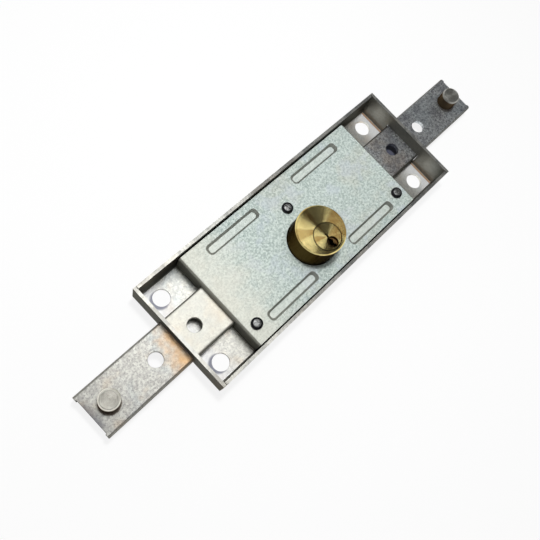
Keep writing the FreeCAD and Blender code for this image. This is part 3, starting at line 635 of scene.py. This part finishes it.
def slope_grooves(cover):
    """Draws in the floors of the grooves, so that their walls slope, most of all at the ends."""
    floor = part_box("cover_plate")[1].z - GROOVE_DEPTH
    corners = [corner.co for corner in cover.data.vertices
               if abs(corner.co.z - floor) < GROOVE_LEVEL_GAP and in_groove_zone(corner.co)]
    for side_long in (-1, 1):
        for side_wide in (-1, 1):
            groove = [point for point in corners if point.x * side_long > 0 and point.y * side_wide > 0]
            for axis, slope in enumerate((GROOVE_END_SLOPE, GROOVE_SIDE_SLOPE)):
                least = min(point[axis] for point in groove)
                most = max(point[axis] for point in groove)
                middle = (least + most) / 2
                share = 1 - slope / ((most - least) / 2)
                for point in groove:
                    point[axis] = middle + (point[axis] - middle) * share


def in_groove_zone(point):
    return abs(point.x) < GROOVE_REACH and GROOVE_NEAR < abs(point.y) < GROOVE_FAR


def on_groove_mouth(point):
    """Tells the upper edges of the four pressed grooves from the cover's other edges."""
    return point.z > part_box("cover_plate")[1].z - GROOVE_LEVEL_GAP and in_groove_zone(point)


def make_bars():
    for side, finish in (("left", left_bar_finish), ("right", right_bar_finish)):
        bar = merged_copy(f"{side}_bar", f"{side}_channel")
        soften(bar, BAR_EDGE)
        dress(bar, f"{side}_bolt", "zinc_bar", finish(), f"{side}_bar")


# Turned pins at the ends of the bars

def make_drive_pins():
    for side in ("left", "right"):
        node = f"{side}_drive_pin"
        low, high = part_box(node)
        centre = middle_of(node)
        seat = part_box(f"{side}_bar")[1].z
        pin = turned(f"{side}_turned_pin", pin_profile(low.z, seat, high.z, radius_of(node)), centre)
        soften(pin, TURNED_EDGE, segments=2)
        pale, dark = PIN_COLOURS[side]
        finish = turned_finish(f"{side}_pin_zinc", centre, pale, dark, PIN_SHADE_TONE,
                               face=high.z - PIN_UNSHADED_DEPTH, roughness=PIN_ROUGHNESS,
                               ring_scale=PIN_RING_SCALE, brushed=0.5, reflection_wedge_share=0.0)
        dress(pin, f"{side}_bolt", "zinc_pin", finish, node)


def pin_profile(low, seat, top, radius):
    """A riveted shank, a straight side, a chamfer, and a top with shallow rings between wide lands."""
    shank = radius * 2 / 3
    flat = radius - PIN_CHAMFER
    profile = [(0, low), (shank, low), (shank, seat), (radius, seat),
               (radius, top - PIN_CHAMFER), (flat, top)]
    width = (flat - PIN_RIM_WIDTH) / PIN_RING_COUNT
    for ring in range(PIN_RING_COUNT):
        outer = flat - PIN_RIM_WIDTH - ring * width
        profile += [(outer, top),
                    (outer - PIN_RING_SLOPE_SHARE * width, top - PIN_RING_DEPTH),
                    (outer - (1 - PIN_RING_SLOPE_SHARE) * width, top - PIN_RING_DEPTH)]
    return profile + [(0, top - PIN_RING_DEPTH)]


# Cover screws

def make_cover_screws():
    nodes = [f"{place}_cover_screw" for place in ("left", "middle", "right")]
    head = make_screw_head(nodes[0])
    points = bpy.data.meshes.new("screw_places")
    points.from_pydata([middle_of(node) for node in nodes], [], [])
    screws = link("cover_screw_set", points)
    tree = screw_tree()
    spread = screws.modifiers.new("spread", "NODES")
    spread.node_group = tree
    names = {item.name: item.identifier for item in tree.interface.items_tree if item.in_out == "INPUT"}
    material = black_screw_finish()
    spread[names["Screw"]] = head
    spread[names["Most turn"]] = SCREW_MOST_TURN
    spread[names["Material"]] = material
    settle(screws)
    bpy.data.objects.remove(head)
    dress(screws, "case", "dark_screw", material, *nodes)


def make_screw_head(node):
    """One screw about the origin, with a low dome and a cross cut into it."""
    low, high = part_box(node)
    half = (high.z - low.z) / 2
    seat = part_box("cover_plate")[1].z - (low.z + high.z) / 2
    head_radius = radius_of(node)
    rise = half - seat
    profile = [(0, -half), (SCREW_SHANK_RADIUS, -half), (SCREW_SHANK_RADIUS, seat), (head_radius, seat)]
    for step in range(SCREW_DOME_STEPS):
        angle = step * math.pi / 2 / SCREW_DOME_STEPS
        profile.append((head_radius * math.cos(angle),
                        half - rise * SCREW_HEAD_DOME * (1 - math.sin(angle))))
    screw = turned("screw_pattern", profile + [(0, half)], Vector((0, 0, 0)))
    cutter = make_cross(half)
    cut = screw.modifiers.new("cross", "BOOLEAN")
    cut.operation = "DIFFERENCE"
    cut.solver = "EXACT"
    cut.object = cutter
    settle(screw)
    bpy.data.objects.remove(cutter)
    soften(screw, FINE_EDGE, segments=2)
    # Painted sheen: the top of each head, recess included, is marked to be laid grey.
    rubbed = screw.data.attributes.new(SHEEN_MARK, "FLOAT", "POINT")
    for corner, mark in zip(screw.data.vertices, rubbed.data):
        inside = corner.co.xy.length < head_radius * SCREW_SHEEN_SHARE
        mark.value = 1.0 if inside and corner.co.z > seat else 0.0
    return screw


def make_cross(top):
    """A plus sign, narrower below, that cuts the driver's recess."""
    long, wide = CROSS_LENGTH / 2, CROSS_WIDTH / 2
    arm = [(long, -wide), (long, wide), (wide, wide)]
    outline = []
    for _ in range(4):
        outline += arm
        arm = [(-y, x) for x, y in arm]
    shape = bmesh.new()
    upper = [shape.verts.new((x, y, top + CROSS_DEPTH)) for x, y in outline]
    lower = [shape.verts.new((x * CROSS_TAPER, y * CROSS_TAPER, top - CROSS_DEPTH)) for x, y in outline]
    shape.faces.new(upper)
    shape.faces.new(lower[::-1])
    for step, corner in enumerate(upper):
        shape.faces.new((corner, upper[step - 1], lower[step - 1], lower[step]))
    return closed_piece(shape, "cross_cutter")


def screw_tree():
    """Puts a copy of the screw on each point, turned by chance, and gives them one material."""
    tree = bpy.data.node_groups.new("cover_screws", "GeometryNodeTree")
    for name, kind in (("Geometry", "Geometry"), ("Screw", "Object"), ("Most turn", "Float"),
                       ("Material", "Material")):
        tree.interface.new_socket(name, in_out="INPUT", socket_type=f"NodeSocket{kind}")
    tree.interface.new_socket("Geometry", in_out="OUTPUT", socket_type="NodeSocketGeometry")
    board = Board(tree)
    given = board.node("NodeGroupInput", {}, {}).outputs
    screw = board.node("GeometryNodeObjectInfo", {}, {"Object": given["Screw"]})
    chance = board.node("FunctionNodeRandomValue", {"data_type": "FLOAT"}, {
        RANDOM_MOST: given["Most turn"], "Seed": SCREW_TURN_SEED})
    turn = board.node("ShaderNodeCombineXYZ", {}, {"Z": chance.outputs[RANDOM_VALUE]})
    copies = board.node("GeometryNodeInstanceOnPoints", {}, {
        "Points": given["Geometry"], "Instance": screw.outputs["Geometry"],
        "Rotation": turn.outputs["Vector"]})
    whole = board.node("GeometryNodeRealizeInstances", {}, {"Geometry": copies.outputs["Instances"]})
    painted = board.node("GeometryNodeSetMaterial", {}, {
        "Geometry": whole.outputs["Geometry"], "Material": given["Material"]})
    board.node("NodeGroupOutput", {}, {"Geometry": painted.outputs["Geometry"]})
    return tree


# Cylinder and plug

def make_cylinder():
    body = merged_copy("cylinder_body", "turned_cylinder")
    soften(body, TURNED_EDGE, segments=2)
    finish = turned_finish("cylinder_brass", middle_of("cylinder_body"), BRASS, BRASS_DARK, CYLINDER_SHADE_TONE,
                           face=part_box("cylinder_body")[1].z, roughness=BRASS_ROUGHNESS,
                           ring_scale=BRASS_RING_SCALE)
    dress(body, "case", "turned_brass", finish, "cylinder_body")
    plug = merged_copy("cylinder_plug", "keyed_plug")
    soften(plug, FINE_EDGE, segments=2)
    finish = turned_finish("plug_brass", middle_of("cylinder_plug"), BRASS, BRASS_DARK, PLUG_SHADE_TONE,
                           face=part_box("cylinder_plug")[1].z, roughness=BRASS_ROUGHNESS,
                           ring_scale=BRASS_RING_SCALE, edge=radius_of("cylinder_plug"))
    dress(plug, "plug", "turned_brass", finish, "cylinder_plug")


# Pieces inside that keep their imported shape

def finish_inner_pieces():
    fitting = fitting_finish()
    by_slot = {
        "zinc_sheet": fitting,
        "zinc_pin": fitting,
        "hard_steel": hard_steel_finish(),
        "turned_brass": turned_finish("inner_brass", middle_of("cylinder_body"), BRASS, BRASS_DARK, BRASS,
                                      face=0.0, roughness=INNER_BRASS_ROUGHNESS,
                                      ring_scale=BRASS_RING_SCALE),
    }
    slots = {part["node"]: part["material_slot"] for part in frame["record"]["subparts"]}
    for node, piece in frame["nodes"].items():
        if piece.hide_render:
            continue
        for holder in piece.material_slots:
            holder.material = by_slot[slots[node]]


# Floor, lamps, room and camera

def white_for_the_eye(finish):
    """Mixes a plain white glow into a finish, for camera, mirror and glass rays only."""
    path = finish.node("ShaderNodeLightPath", {}, {})
    camera, mirror, glass = (Amount(finish, path.outputs[f"Is {kind} Ray"])
                             for kind in ("Camera", "Glossy", "Transmission"))
    glow = finish.node("ShaderNodeEmission", {}, {"Color": grey(1.0), "Strength": 1.0})
    mixed = finish.node("ShaderNodeMixShader", {}, {
        0: camera.larger(mirror).larger(glass) * FLOOR_GLOW,
        1: finish.shader.outputs["BSDF"],
        2: glow.outputs["Emission"]})
    finish.feed(finish.output.inputs["Surface"], mixed.outputs["Shader"])


def make_floor():
    half = FLOOR_SIDE / 2
    outline = ((-half, -half), (half, -half), (half, half), (-half, half))
    mesh = bpy.data.meshes.new("table_top")
    mesh.from_pydata([(x, y, -FLOOR_DROP) for x, y in outline], [], [(0, 1, 2, 3)])
    floor = link("table_top", mesh)
    finish = Finish("white_table", Base_Color=grey(FLOOR_GREY), Roughness=FLOOR_ROUGHNESS)
    white_for_the_eye(finish)
    mesh.materials.append(finish.material)


def make_lamp(name, place, width, power, mirrored):
    lamp = bpy.data.lights.new(name, "AREA")
    lamp.shape = "DISK"
    lamp.size = width
    lamp.energy = power
    holder = bpy.data.objects.new(name, lamp)
    holder.location = place
    holder.visible_camera = False
    holder.visible_glossy = mirrored
    bpy.context.scene.collection.objects.link(holder)


def make_world():
    """A pale room under a dark ceiling."""
    world = bpy.data.worlds.new("studio")
    world.use_nodes = True
    room = Board(world.node_tree)
    direction = room.node("ShaderNodeTexCoord", {}, {})
    height = room.axes(direction.outputs["Generated"])[2]
    rise = room.node("ShaderNodeMapRange", {}, {
        "Value": height, "From Min": HORIZON_ENDS, "From Max": SKY_BEGINS})
    shade = room.mix(rise.outputs["Result"], grey(HORIZON_GLOW), grey(SKY_GLOW))
    sky = room.node("ShaderNodeBackground", {}, {"Color": shade})
    room.node("ShaderNodeOutputWorld", {}, {"Surface": sky.outputs["Background"]})
    bpy.context.scene.world = world


def make_camera():
    camera = bpy.data.cameras.new("camera")
    camera.sensor_width = SENSOR
    camera.lens = CAMERA_LENS
    camera.clip_start = CAMERA_NEAR
    holder = bpy.data.objects.new("camera", camera)
    holder.location = CAMERA_PLACE
    holder.rotation_euler = Euler([math.radians(angle) for angle in CAMERA_TURN], "XYZ")
    bpy.context.scene.collection.objects.link(holder)
    bpy.context.scene.camera = holder


make_tray()
make_cover()
make_bars()
make_drive_pins()
make_cover_screws()
make_cylinder()
finish_inner_pieces()
make_floor()
make_lamp("key_lamp", KEY_LAMP_PLACE, KEY_LAMP_WIDTH, KEY_LAMP_POWER, mirrored=False)
make_lamp("soft_box", SOFT_BOX_PLACE, SOFT_BOX_WIDTH, SOFT_BOX_POWER, mirrored=True)
make_world()
make_camera()
bpy.context.scene.view_settings.view_transform = "Standard"
